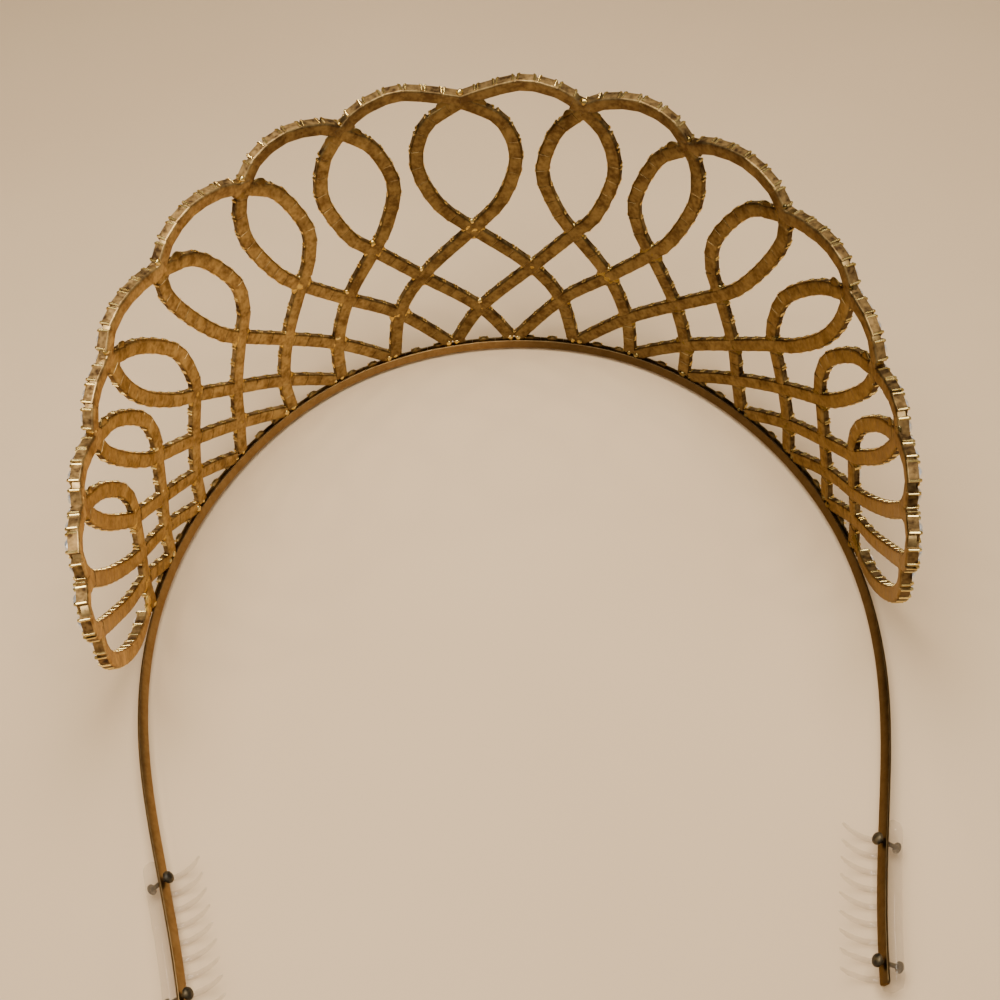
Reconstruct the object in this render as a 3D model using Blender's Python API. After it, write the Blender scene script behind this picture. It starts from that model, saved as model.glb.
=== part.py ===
"""A rhinestone tiara: a flat wire headband that carries a row of round cups, a lattice of
interlaced loops of cup chain, a scalloped border, and a clear comb pinned to each end.

Metres, +Z up. The front faces -Y, the wearer's left is +X, and the tiara stands on the lower
edge of its front and on its combs, as it would on a table.

Every metal piece is laid out in developed coordinates, in millimetres:
    s    along the headband from the middle of the front, positive to the wearer's left
    h    up the wall from the headband's middle line
    out  away from the head, square to the wall
Tables are in millimetres and degrees.
"""
import math

import bmesh
import bpy
from mathutils import Matrix, Vector

MM = 0.001

# Headband, seen from above: how fast it turns, and how far its strip leans outward
BAND_TABLE = (
    # station, turn in degrees per mm, lean in degrees
    (0.0, 0.857, 0.0),
    (33.2, 0.991, 5.0),
    (66.4, 0.634, 12.0),
    (99.6, 0.642, 19.0),
    (137.6, 0.453, 38.0),
    (165.0, -0.02, 34.0),
    (180.3, -0.269, 30.0),
    (200.0, -0.269, 25.0),
)
BAND_END = 192.7
BAND_WIDTH = 2.2
BAND_THICKNESS = 0.5
BAND_CHAMFER = 0.12
BAND_STEP = 5.5
CURVE_STEP = 0.5

# Wall that the loops stand in
WALL_OFFSET = 1.15
WALL_LEAN_FRONT = -1.0
WALL_LEAN_SIDE = -4.9
WALL_LEAN_STATION = 142.0

# Standing height of the headband's middle line over the table
FRONT_CLEARANCE = 1.75
COMB_CLEARANCE = 4.1
COMB_CLEARANCE_Y = 145.0

GAP = 0.3

# Cup chain of the loops and the border
CHAIN_WIDTH = 2.8
CHAIN_DEPTH = 2.0
CHAIN_BACK = -0.95
BORDER_DEPTH = 2.6
FAMILY_OFFSET = 0.12
BEND_LIMIT = 0.6
CHAIN_STEP = 4.4

# Row of round cups on the headband
CUP_PITCH = 5.2
CUP_COUNT = 41
CUP_HEIGHT = 3.2
CUP_LENGTH = 4.0
CUP_DEPTH = 1.8
LINK_HEIGHT = 1.5
LINK_INSET = 0.3

# Loops, by number from the centre: the border junction at the top, then shoulder, side and
# waist down the side nearer the centre, and the same down the side farther from it
LOOPS = (
    # top (s, h), then each side's shoulder, side and waist
    ((0.0, 64.6),
     ((-7.3, 60.0), (-10.0, 51.5), (-6.8, 41.2)), ((7.3, 60.0), (10.0, 51.5), (6.8, 41.2))),
    ((24.2, 63.0),
     ((18.4, 57.4), (15.3, 47.8), (17.8, 38.6)), ((28.6, 58.0), (30.2, 49.5), (26.2, 38.4))),
    ((46.4, 60.8),
     ((39.6, 55.6), (34.8, 44.6), (35.9, 36.8)), ((48.5, 56.8), (48.4, 49.0), (43.6, 38.2))),
    ((71.0, 58.4),
     ((61.4, 53.9), (53.9, 43.0), (53.3, 34.8)), ((71.0, 52.6), (67.2, 44.4), (61.0, 34.8))),
    ((92.4, 55.6),
     ((82.4, 49.7), (73.3, 40.4), (70.6, 31.5)), ((90.0, 47.2), (85.2, 39.2), (77.6, 31.2))),
    ((105.2, 48.9),
     ((96.5, 44.7), (88.2, 36.4), (86.2, 29.4)), ((103.2, 43.4), (98.4, 36.6), (92.4, 29.6))),
    ((120.2, 48.2),
     ((110.2, 40.9), (102.8, 32.8), (100.5, 27.2)), ((117.4, 42.6), (112.4, 35.2), (106.0, 27.8))),
)

# Soldered crossings under the loops, by station: station n is under loop n
CROSSINGS = {
    # station: (s, h)
    0.0: (0.0, 33.4), 1.0: (21.4, 32.7), 2.0: (38.6, 31.8), 3.0: (55.7, 29.4),
    4.0: (71.4, 26.6), 5.0: (87.2, 25.1), 6.0: (100.9, 22.9),
}
HALF_CROSSINGS = {
    0.5: (11.9, 22.5), 1.5: (28.8, 22.4), 2.5: (44.6, 20.4), 3.5: (60.0, 18.4),
    4.5: (75.1, 17.4), 5.5: (89.8, 15.8), 6.5: (103.0, 14.6),
}
LOW_CROSSINGS = {
    0.0: (0.0, 11.0), 1.0: (18.0, 13.4), 2.0: (33.0, 11.5), 3.0: (47.5, 10.2),
    4.0: (61.8, 9.3), 5.0: (77.6, 9.1), 6.0: (92.0, 8.7), 7.0: (105.0, 8.8),
}
FEET = {
    # station: s
    0.5: 6.9, 1.5: 20.7, 2.5: 33.9, 3.5: 47.3, 4.5: 63.6, 5.5: 78.7, 6.5: 93.2, 7.5: 105.8,
}
FOOT_HEIGHT = 0.6

# End strands: from the border straight down to the lattice
END_STRANDS = {
    # number: points from the border down
    7: ((129.8, 41.0), (120.4, 29.9), (111.0, 20.6)),
    8: ((136.0, 35.0), (126.4, 25.0), (115.0, 14.8)),
}

# Border: three points over each scallop between one junction and the next
SCALLOPS = (
    ((5.3, 66.2), (12.5, 67.7), (19.6, 66.1)),
    ((28.4, 65.3), (35.7, 66.5), (42.4, 64.7)),
    ((52.2, 63.1), (59.8, 63.9), (67.0, 62.0)),
    ((76.4, 59.6), (83.6, 60.3), (89.6, 59.0)),
    ((96.2, 55.4), (100.6, 54.6), (103.7, 52.3)),
    ((110.6, 50.5), (115.4, 51.4), (119.0, 50.6)),
    ((125.2, 49.5), (130.2, 49.7), (131.8, 46.2)),
    ((135.4, 44.7), (139.6, 44.4), (139.8, 40.0)),
)
TIP_LOBE = (
    (137.0, 30.2), (134.2, 24.0), (129.2, 17.0), (123.2, 10.2), (117.6, 5.6), (113.0, 3.6), (109.6, 3.4),
)
BORDER_STEP = 2.7

# Level at which the centre loop is parted from the lattice below it, and the room around it
CENTRE_PARTING = 30.2
CENTRE_HALF_WIDTH = 13.2
CENTRE_TOP = 72.0

# How far the cutters reach past what they cut
CUTTER_SPARE = 1.0
CUTTER_END_SPARE = 3.0

# Side combs, in the headband strip's own frame: v up the strip, out away from the head
COMB_MIDDLES = (
    # name, side, station of its middle
    ("left", 1, 175.0),
    ("right", -1, 178.7),
)
COMB_LENGTH = 28.5
COMB_THICKNESS = 1.9
COMB_TOP = 2.2
COMB_BOTTOM = -2.4
COMB_STEP = 2.1
COMB_END_EASE = 0.6
TOOTH_COUNT = 9
TOOTH_LENGTH_ON_COMB = 1.0
TOOTH_EDGE = 2.2
TOOTH_PATH = (
    # out, v, thickness
    (1.35, -1.6, 1.2),
    (1.15, -3.0, 1.1),
    (0.0, -3.9, 1.05),
    (-1.9, -4.1, 0.95),
    (-4.0, -3.8, 0.8),
    (-6.0, -3.0, 0.5),
)

# Pins through the headband and the comb
PIN_SPACING = 20.8
PIN_RADIUS = 0.4
PIN_HOLE_RADIUS = 0.7
PIN_HEAD_RADIUS = 1.1
PIN_HEAD_DEPTH = 1.4
PIN_DISC_RADIUS = 0.95
PIN_DISC_THICKNESS = 0.45
PIN_DISC_RIM = 0.27
PIN_DISC_FACE_RADIUS = 0.66
PIN_SIDES = 12
HEAD_ARC = range(-75, 61, 27)
SHARP_ANGLE = 40.0

MATERIALS = {
    # name: (colour, metallic, roughness, alpha)
    "gold_plate": ((0.62, 0.40, 0.13), 1.0, 0.28, 1.0),
    "clear_plastic": ((0.93, 0.93, 0.90), 0.0, 0.12, 0.35),
    "dark_pin": ((0.035, 0.028, 0.022), 0.6, 0.35, 1.0),
}


def interpolate(table, column, station):
    """Value of one column of a table of rows at a station, straight between rows."""
    low = table[0]
    for high in table[1:]:
        if station <= high[0]:
            share = (station - low[0]) / (high[0] - low[0])
            return low[column] + share * (high[column] - low[column])
        low = high
    return low[column]


def band_points():
    """Middle line of the headband from above: x, y and heading, one entry per CURVE_STEP."""
    x, y, heading = 0.0, 0.0, 0.0
    points = [(x, y, heading)]
    for index in range(int(round(BAND_TABLE[-1][0] / CURVE_STEP))):
        turn = interpolate(BAND_TABLE, 1, (index + 0.5) * CURVE_STEP) * CURVE_STEP
        middle = math.radians(heading + turn / 2)
        x += CURVE_STEP * math.cos(middle)
        y += CURVE_STEP * math.sin(middle)
        heading += turn
        points.append((x, y, heading))
    return points


BAND_POINTS = band_points()


def band_frame(s):
    """Point of the headband's middle line and its outward direction, in the plan."""
    side = -1.0 if s < 0 else 1.0
    place = min(abs(s) / CURVE_STEP, len(BAND_POINTS) - 1.001)
    index = int(place)
    share = place - index
    low, high = BAND_POINTS[index], BAND_POINTS[index + 1]
    x, y, heading = (a + share * (b - a) for a, b in zip(low, high))
    heading = math.radians(heading)
    return Vector((side * x, y, 0)), Vector((side * math.sin(heading), -math.cos(heading), 0))


def leaning_point(s, h, out, lean, offset):
    """World point, in metres, for a strip or wall that leans outward by an angle."""
    origin, outward = band_frame(s)
    angle = math.radians(lean)
    point = origin + outward * (offset + h * math.sin(angle) + out * math.cos(angle))
    lift = FRONT_CLEARANCE + (COMB_CLEARANCE - FRONT_CLEARANCE) * origin.y / COMB_CLEARANCE_Y
    point.z = h * math.cos(angle) - out * math.sin(angle) + lift
    return point * MM


def strip_point(s, v, out):
    """Point beside the headband, in the strip's own leaning frame."""
    return leaning_point(s, v, out, interpolate(BAND_TABLE, 2, abs(s)), 0.0)


def wall_point(s, h, out):
    """Point in the wall of loops."""
    share = min(abs(s) / WALL_LEAN_STATION, 1.0) ** 2
    lean = WALL_LEAN_FRONT + (WALL_LEAN_SIDE - WALL_LEAN_FRONT) * share
    return leaning_point(s, h, out, lean, WALL_OFFSET)


def smooth_path(points, step):
    """Points about a step apart along a smooth curve through the given points."""
    guides = [Vector(p) for p in points]
    guides = [2 * guides[0] - guides[1]] + guides + [2 * guides[-1] - guides[-2]]
    path = []
    for a, b, c, d in zip(guides, guides[1:], guides[2:], guides[3:]):
        count = max(1, round((c - b).length / step))
        for index in range(count):
            t = index / count
            path.append(0.5 * (2 * b + (c - a) * t + (2 * a - 5 * b + 4 * c - d) * t * t
                               + (3 * b - a - 3 * c + d) * t * t * t))
    path.append(guides[-2])
    return path


def mirrored(path):
    """The same path on the other side of the tiara."""
    return [Vector((-p.x, p.y)) for p in path]


def bridge_sections(sections):
    """Closed body through a list of sections, each a ring of points."""
    shape = bmesh.new()
    rings = [[shape.verts.new(point) for point in section] for section in sections]
    for low, high in zip(rings, rings[1:]):
        for index in range(len(low)):
            following = (index + 1) % len(low)
            shape.faces.new((low[index], low[following], high[following], high[index]))
    shape.faces.new(reversed(rings[0]))
    shape.faces.new(rings[-1])
    bmesh.ops.recalc_face_normals(shape, faces=shape.faces)
    return shape


def bar(path, width, back, front):
    """Bar of cup chain along a path in the wall."""
    sections = []
    for index, point in enumerate(path):
        before = (point - path[index - 1]).normalized() if index > 0 else None
        after = (path[index + 1] - point).normalized() if index < len(path) - 1 else None
        along = ((before or after) + (after or before)).normalized()
        stretch = 1.0 / max(along.dot(after or before), BEND_LIMIT)
        across = Vector((-along.y, along.x)) * (width / 2) * stretch
        low, high = point - across, point + across
        sections.append((
            wall_point(low.x, low.y, back), wall_point(high.x, high.y, back),
            wall_point(high.x, high.y, front), wall_point(low.x, low.y, front),
        ))
    return bridge_sections(sections)


def join_shapes(shapes):
    """One bmesh that holds several separate closed bodies."""
    whole = bmesh.new()
    for shape in shapes:
        mesh = bpy.data.meshes.new("part")
        shape.to_mesh(mesh)
        shape.free()
        whole.from_mesh(mesh)
        bpy.data.meshes.remove(mesh)
    return whole


def material(name):
    """Principled material from the table."""
    found = bpy.data.materials.get(name)
    if found:
        return found
    colour, metallic, roughness, alpha = MATERIALS[name]
    made = bpy.data.materials.new(name)
    made.use_nodes = True
    shader = made.node_tree.nodes["Principled BSDF"]
    shader.inputs["Base Color"].default_value = (*colour, 1.0)
    shader.inputs["Metallic"].default_value = metallic
    shader.inputs["Roughness"].default_value = roughness
    shader.inputs["Alpha"].default_value = alpha
    return made


def add_object(name, shape, material_name, parent):
    """Scene object from a bmesh."""
    mesh = bpy.data.meshes.new(name)
    shape.to_mesh(mesh)
    shape.free()
    mesh.materials.append(material(material_name))
    made = bpy.data.objects.new(name, mesh)
    bpy.context.scene.collection.objects.link(made)
    made.parent = parent
    return made


def add_cutter(name, shape, parent):
    """Hidden body that cuts its neighbours."""
    cutter = add_object(name, shape, "gold_plate", parent)
    cutter.hide_render = True
    cutter.display_type = 'WIRE'
    return cutter


def add_boolean(target, operation, other):
    """Boolean modifier with the exact solver."""
    modifier = target.modifiers.new(operation.lower(), 'BOOLEAN')
    modifier.operation = operation
    modifier.solver = 'EXACT'
    modifier.object = other


def strand(loop, outward):
    """Path of one strand of a loop: round one side, through the crossings, to its foot.

    The outward strand rounds the side nearer the centre and runs to the foot farther out."""
    top, inner, outer = LOOPS[loop]
    side = inner if outward else outer
    points = [top, *side, CROSSINGS[float(loop)]]
    return points + run_down(loop, 1.0 if outward else -1.0)


def run_down(loop, direction):
    """Crossings and foot below a loop, towards one side; stations past the centre are mirrored."""
    points = []
    for table, distance in ((HALF_CROSSINGS, 0.5), (LOW_CROSSINGS, 1.0)):
        station = loop + direction * distance
        if abs(station) in table:
            s, h = table[abs(station)]
            points.append((math.copysign(s, station) if s else 0.0, h))
    station = loop + direction * 1.5
    points.append((math.copysign(FEET[abs(station)], station), FOOT_HEIGHT))
    return points


def lattice_paths():
    """Paths of the strands that run towards +s at the foot; the others mirror them."""
    paths = []
    for loop in range(len(LOOPS)):
        paths.append(smooth_path(strand(loop, True), CHAIN_STEP))
        if loop > 0:
            paths.append(mirrored(smooth_path(strand(loop, False), CHAIN_STEP)))
    for number, points in END_STRANDS.items():
        paths.append(mirrored(smooth_path([*points, *run_down(number, -1.0)], CHAIN_STEP)))
    return paths


def border_path():
    """Border from one end lobe to the other."""
    junctions = [row[0] for row in LOOPS] + [points[0] for points in END_STRANDS.values()]
    half = []
    for index, bulge in enumerate(SCALLOPS):
        half += smooth_path([junctions[index], *bulge, junctions[index + 1]], BORDER_STEP)[:-1]
    half += smooth_path([junctions[-1], *TIP_LOBE], BORDER_STEP)
    return mirrored(reversed(half[1:])) + half


def make_headband(parent):
    """Flat wire with its edges eased."""
    count = round(2 * BAND_END / BAND_STEP)
    half_width, half_thickness = BAND_WIDTH / 2, BAND_THICKNESS / 2
    inner_width, inner_thickness = half_width - BAND_CHAMFER, half_thickness - BAND_CHAMFER
    outline = []
    for v, out in ((inner_width, half_thickness), (half_width, inner_thickness)):
        outline.append((v, out))
    outline += [(v, -out) for v, out in reversed(outline)]
    outline += [(-v, -out) for v, out in outline[:2]] + [(-v, out) for v, out in reversed(outline[:2])]
    sections = []
    for index in range(count + 1):
        s = -BAND_END + 2 * BAND_END * index / count
        sections.append([strip_point(s, v, out) for v, out in outline])
    return add_object("headband", bridge_sections(sections), "gold_plate", parent)


def make_base_chain(parent):
    """Row of round cups joined by short links."""
    back = BAND_THICKNESS / 2 + GAP
    front = back + CUP_DEPTH
    sections = []

    def add_section(s, height, inset):
        half = height / 2
        sections.append([
            strip_point(s, -half, back), strip_point(s, half, back),
            strip_point(s, half, front - inset), strip_point(s, -half, front - inset),
        ])

    quarter = CUP_LENGTH / 4
    for index in range(CUP_COUNT):
        middle = (index - (CUP_COUNT - 1) / 2) * CUP_PITCH
        add_section(middle - 2 * quarter, LINK_HEIGHT, LINK_INSET)
        add_section(middle - quarter, CUP_HEIGHT, 0.0)
        add_section(middle + quarter, CUP_HEIGHT, 0.0)
        add_section(middle + 2 * quarter, LINK_HEIGHT, LINK_INSET)
    return add_object("base_chain", bridge_sections(sections), "gold_plate", parent)


def make_base_cutter(parent):
    """Room for the row of cups under the lattice's feet."""
    back = -BAND_THICKNESS / 2 - CUTTER_SPARE
    front = BAND_THICKNESS / 2 + 2 * GAP + CUP_DEPTH + CUTTER_SPARE
    top, bottom = CUP_HEIGHT / 2 + GAP, -CUP_HEIGHT / 2 - GAP
    sections = []
    reach = CUP_COUNT * CUP_PITCH / 2 + CUTTER_END_SPARE
    count = round(2 * reach / BAND_STEP)
    for index in range(count + 1):
        s = -reach + 2 * reach * index / count
        sections.append([
            strip_point(s, bottom, back), strip_point(s, top, back),
            strip_point(s, top, front), strip_point(s, bottom, front),
        ])
    return add_cutter("base_cutter", bridge_sections(sections), parent)


def wall_block(low, high, bottom, top):
    """Block of the wall between two stations and two levels, with room before and behind."""
    back, front = CHAIN_BACK - CUTTER_SPARE, CHAIN_BACK + CHAIN_DEPTH + CUTTER_SPARE
    count = round((high - low) / BORDER_STEP)
    sections = []
    for index in range(count + 1):
        s = low + (high - low) * index / count
        sections.append((
            wall_point(s, bottom, back), wall_point(s, top, back),
            wall_point(s, top, front), wall_point(s, bottom, front),
        ))
    return bridge_sections(sections)


def strand_bars(paths):
    """Bars of both families of strands; the away family stands a little farther out."""
    back, front = CHAIN_BACK, CHAIN_BACK + CHAIN_DEPTH
    towards = [bar(path, CHAIN_WIDTH, back, front) for path in paths]
    away = [bar(mirrored(path), CHAIN_WIDTH, back + FAMILY_OFFSET, front + FAMILY_OFFSET)
            for path in paths]
    return join_shapes(towards), join_shapes(away)


def make_centre_loop(parent, border_cutter):
    """The loop in the middle, down to just below its soldered crossing."""
    towards, away = strand_bars([smooth_path(strand(0, True), CHAIN_STEP)])
    loop = add_object("centre_loop", towards, "gold_plate", parent)
    add_boolean(loop, 'UNION', add_cutter("centre_loop_other_side", away, parent))
    keep = wall_block(-CENTRE_HALF_WIDTH, CENTRE_HALF_WIDTH, CENTRE_PARTING, CENTRE_TOP)
    add_boolean(loop, 'INTERSECT', add_cutter("centre_loop_room", keep, parent))
    add_boolean(loop, 'DIFFERENCE', border_cutter)
    return loop


def make_lattice(parent, border_cutter, base_cutter):
    """Interlaced loops, soldered where they cross, cut clear of the border and the base row."""
    towards, away = strand_bars(lattice_paths())
    lattice = add_object("loop_lattice", towards, "gold_plate", parent)
    other = add_cutter("lattice_other_strands", away, parent)
    add_boolean(lattice, 'UNION', other)
    room = wall_block(-CENTRE_HALF_WIDTH, CENTRE_HALF_WIDTH, CENTRE_PARTING - GAP, CENTRE_TOP)
    add_boolean(lattice, 'DIFFERENCE', add_cutter("centre_room", room, parent))
    add_boolean(lattice, 'DIFFERENCE', border_cutter)
    add_boolean(lattice, 'DIFFERENCE', base_cutter)
    return lattice


def comb_sections(middle):
    """Sections of a comb's spine between its two ends."""
    back = BAND_THICKNESS / 2 + GAP
    front = back + COMB_THICKNESS
    count = round(COMB_LENGTH / COMB_STEP)
    sections = []
    for index in range(count + 1):
        s = middle + COMB_LENGTH * (index / count - 0.5)
        ease = COMB_END_EASE if index in (0, count) else 0.0
        sections.append((s, (
            (COMB_BOTTOM + ease, back), (COMB_TOP - ease, back),
            (COMB_TOP - ease, front), (COMB_BOTTOM + ease, front),
        )))
    return sections


def tooth_shape(side, s):
    """One tooth: from inside the spine, under the headband and up towards the head."""
    sections = []
    for index, (out, v, thickness) in enumerate(TOOTH_PATH):
        before = TOOTH_PATH[max(index - 1, 0)]
        after = TOOTH_PATH[min(index + 1, len(TOOTH_PATH) - 1)]
        along = Vector((after[0] - before[0], after[1] - before[1])).normalized()
        across = Vector((-along.y, along.x)) * thickness / 2
        half = TOOTH_LENGTH_ON_COMB / 2
        sections.append([
            strip_point(side * (s + shift), v + sign * across.y, out + sign * across.x)
            for shift, sign in ((-half, -1), (half, -1), (half, 1), (-half, 1))
        ])
    return bridge_sections(sections)


def make_comb(name, side, middle, parent, hole_cutter):
    """Clear side comb: a spine with a row of teeth joined to it."""
    spine = bridge_sections([
        [strip_point(side * s, v, out) for v, out in section] for s, section in comb_sections(middle)
    ])
    row = COMB_LENGTH - 2 * TOOTH_EDGE
    teeth = join_shapes([
        tooth_shape(side, middle + row * (index / (TOOTH_COUNT - 1) - 0.5))
        for index in range(TOOTH_COUNT)
    ])
    comb = add_object(name, spine, "clear_plastic", parent)
    add_boolean(comb, 'UNION', add_cutter(name + "_teeth", teeth, parent))
    add_boolean(comb, 'DIFFERENCE', hole_cutter)
    return comb


def turned_shape(profile):
    """Closed turned body about Z from a profile of (radius, height) rows."""
    shape = bmesh.new()
    rings = []
    for radius, height in profile:
        ring = []
        for index in range(PIN_SIDES):
            angle = 2 * math.pi * index / PIN_SIDES
            ring.append(shape.verts.new((radius * math.cos(angle), radius * math.sin(angle), height)))
        rings.append(ring)
    for low, high in zip(rings, rings[1:]):
        for index in range(PIN_SIDES):
            following = (index + 1) % PIN_SIDES
            shape.faces.new((low[index], low[following], high[following], high[index]))
    shape.faces.new(reversed(rings[0]))
    shape.faces.new(rings[-1])
    bmesh.ops.recalc_face_normals(shape, faces=shape.faces)
    return shape


def pin_frame(s):
    """Placement of a pin: its axis runs out through the strip."""
    centre = strip_point(s, 0.0, 0.0)
    axis = (strip_point(s, 0.0, 1.0) - centre).normalized()
    return Matrix.Translation(centre) @ axis.to_track_quat('Z', 'Y').to_matrix().to_4x4()


def pin_profile():
    """Domed button on the head's side, a stem, and a flat end outside the comb."""
    face = BAND_THICKNESS / 2 + GAP
    button = -face - PIN_HEAD_DEPTH / 2
    disc = face + COMB_THICKNESS + GAP
    profile = []
    for degrees in HEAD_ARC:
        angle = math.radians(degrees)
        profile.append((PIN_HEAD_RADIUS * math.cos(angle), button + PIN_HEAD_DEPTH / 2 * math.sin(angle)))
    profile.append((PIN_RADIUS, button + PIN_HEAD_DEPTH / 2))
    profile += [
        (PIN_RADIUS, disc), (PIN_DISC_RADIUS, disc),
        (PIN_DISC_RADIUS, disc + PIN_DISC_RIM), (PIN_DISC_FACE_RADIUS, disc + PIN_DISC_THICKNESS),
    ]
    return [(radius * MM, height * MM) for radius, height in profile]


def make_pin(name, s, parent):
    """One dark pin."""
    shape = turned_shape(pin_profile())
    bmesh.ops.transform(shape, matrix=pin_frame(s), verts=shape.verts)
    pin = add_object(name, shape, "dark_pin", parent)
    pin.data.shade_smooth()
    pin.data.set_sharp_from_angle(angle=math.radians(SHARP_ANGLE))
    return pin


def make_holes(parent):
    """Cutter for the rivet holes through the headband and the combs."""
    reach = BAND_THICKNESS / 2 + GAP + COMB_THICKNESS + CUTTER_SPARE
    shapes = []
    for _, side, middle in COMB_MIDDLES:
        for shift in (-0.5, 0.5):
            hole = turned_shape([(PIN_HOLE_RADIUS * MM, -reach * MM), (PIN_HOLE_RADIUS * MM, reach * MM)])
            station = side * (middle + shift * PIN_SPACING)
            bmesh.ops.transform(hole, matrix=pin_frame(station), verts=hole.verts)
            shapes.append(hole)
    return add_cutter("pin_holes", join_shapes(shapes), parent)


def centre_on_origin(parent, objects):
    """Slide everything along Y so that the tiara's box is centred over the origin."""
    bpy.context.view_layer.update()
    graph = bpy.context.evaluated_depsgraph_get()
    depths = []
    for item in objects:
        mesh = item.evaluated_get(graph).to_mesh()
        depths += [(item.matrix_world @ vertex.co).y for vertex in mesh.vertices]
        item.evaluated_get(graph).to_mesh_clear()
    parent.location.y = -(min(depths) + max(depths)) / 2


def main():
    for item in list(bpy.data.objects):
        bpy.data.objects.remove(item)
    parent = bpy.data.objects.new("tiara_frame", None)
    bpy.context.scene.collection.objects.link(parent)

    holes = make_holes(parent)
    border_line = border_path()
    border_cutter = add_cutter("border_cutter", bar(
        border_line, CHAIN_WIDTH + 2 * GAP, CHAIN_BACK - CUTTER_SPARE,
        CHAIN_BACK + BORDER_DEPTH + CUTTER_SPARE), parent)

    headband = make_headband(parent)
    add_boolean(headband, 'DIFFERENCE', holes)
    pieces = [headband, make_base_chain(parent)]
    pieces.append(make_lattice(parent, border_cutter, make_base_cutter(parent)))
    pieces.append(make_centre_loop(parent, border_cutter))
    border = bar(border_line, CHAIN_WIDTH, CHAIN_BACK, CHAIN_BACK + BORDER_DEPTH)
    pieces.append(add_object("scallop_border", border, "gold_plate", parent))
    for word, side, middle in COMB_MIDDLES:
        pieces.append(make_comb("comb_" + word, side, middle, parent, holes))
        for place, shift in (("front", -0.5), ("back", 0.5)):
            station = side * (middle + shift * PIN_SPACING)
            pieces.append(make_pin("pin_%s_%s" % (word, place), station, parent))
    centre_on_origin(parent, pieces)


main()
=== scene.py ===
"""Finish of the tiara: cup chain with its stones, solder, flat wire band, clear combs and pins.

Millimetre tables are laid out as on the bench, in developed coordinates:
    s    along the headband from the middle of the front, positive to the wearer's left
    h    up the wall from the headband's middle line
    out  away from the head, square to the wall
"""
import math

import bmesh
import bpy
import numpy as np
from mathutils import Matrix, Vector


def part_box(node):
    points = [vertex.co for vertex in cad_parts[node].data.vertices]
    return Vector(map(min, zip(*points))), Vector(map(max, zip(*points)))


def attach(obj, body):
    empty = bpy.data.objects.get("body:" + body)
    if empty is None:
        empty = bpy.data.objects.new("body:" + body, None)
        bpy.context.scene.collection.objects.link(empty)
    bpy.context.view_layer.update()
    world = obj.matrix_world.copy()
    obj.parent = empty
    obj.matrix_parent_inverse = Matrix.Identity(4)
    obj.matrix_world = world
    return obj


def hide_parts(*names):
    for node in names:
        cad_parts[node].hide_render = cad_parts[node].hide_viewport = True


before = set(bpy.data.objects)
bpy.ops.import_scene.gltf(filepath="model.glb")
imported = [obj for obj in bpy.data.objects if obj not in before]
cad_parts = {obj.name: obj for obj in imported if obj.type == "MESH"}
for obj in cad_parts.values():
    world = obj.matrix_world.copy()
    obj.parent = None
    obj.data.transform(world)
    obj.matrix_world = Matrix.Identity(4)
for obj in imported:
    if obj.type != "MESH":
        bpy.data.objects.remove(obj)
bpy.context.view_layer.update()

MM = 0.001

# Edges past these angles, in degrees, are shaded sharp
SHARP_PAST = {"cups": 38.0, "stones": 3.0, "solder": 180.0, "teeth": 60.0, "spines": 50.0, "strips": 50.0,
              "band": 40.0, "pins": 35.0}

# Headband, seen from above: how fast it turns, and how far its strip leans outward
BAND_TABLE = (
    # station, turn in degrees per mm, lean in degrees
    (0.0, 0.857, 0.0), (33.2, 0.991, 5.0), (66.4, 0.634, 12.0), (99.6, 0.642, 19.0),
    (137.6, 0.453, 38.0), (165.0, -0.02, 34.0), (180.3, -0.269, 30.0), (200.0, -0.269, 25.0),
)
BAND_END = 192.7
BAND_WIDTH = 2.2
BAND_THICKNESS = 0.5
BAND_CORNER = 0.12
BAND_STEP = 1.4
BAND_EASING = (
    # distance from the end, cut off each edge
    (0.0, 0.4), (0.12, 0.18), (0.4, 0.0),
)
CORNER_STEPS = 3
CURVE_STEP = 0.5
PATH_STEP = 0.25

WALL_OFFSET = 1.15
WALL_LEAN_FRONT = -1.0
WALL_LEAN_SIDE = -4.9
WALL_LEAN_STATION = 142.0
FRONT_CLEARANCE = 1.75
COMB_CLEARANCE = 4.1
COMB_CLEARANCE_Y = 145.0
GAP = 0.3

# Cup chain
CHAIN_WIDTH = 2.8
CHAIN_DEPTH = 2.0
CHAIN_BACK = -0.95
CHAIN_PITCH = 3.75
BORDER_DEPTH = 2.6
FAMILY_OFFSET = 0.06
RIBBON_STEP = 1.1
RIBBON_HALF_OUTLINE = (
    # share of half the width, how far out from the strip's back
    (0.96, 0.40), (0.90, 0.20), (0.80, 0.09), (0.655, 0.04),
)
STRIP_HEIGHT = 0.75
BORDER_STRIP_HEIGHT = 1.5
BORDER_TILT = 12.0
BORDER_TILT_END = 100.0
BORDER_RISE = 0.15
SHORTEST_RUN = 1.6
STRAND_CLEARANCE = 1.5
BORDER_CLEARANCE = 1.9
FOOT_LEVEL = 1.95
BEAD_RISE = 2.1
LOBE_SOLDER = ((106.4, 4.6), (108.6, 3.4))
JUNCTION_SHARE = 0.45
JUNCTION_RISE = 1.2
SQUARE_BACK = (
    # rounding of the back in steps: distance, then how much narrower along and across
    (0.20, 0.99, 0.93), (0.10, 0.985, 0.89), (0.05, 0.98, 0.82),
)
ROUND_BACK = ((0.12, 0.96, 0.96), (0.05, 0.92, 0.92))

# Cups and claws, mostly as shares of their own sizes
RIM_SHARE = 0.86
RECESS_SHARE = 0.75
FLAT_SLOPE = 0.7
# Faces that look this far sideways get the painted shade of the side walls
SHADED_SIDE_SLOPE = 0.3
CLAW_SIDES = 6
CLAW_TIP_SHARE = 0.55
CLAW_SUNK_SHARE = 0.35
CLAW_LEANS = {"square": 110.0, "round": 130.0}
CLAW_INSET = (1.5, 1.2)
RIB_INSET = (2.0, 0.8)
RIB_SIDES = 8

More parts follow.
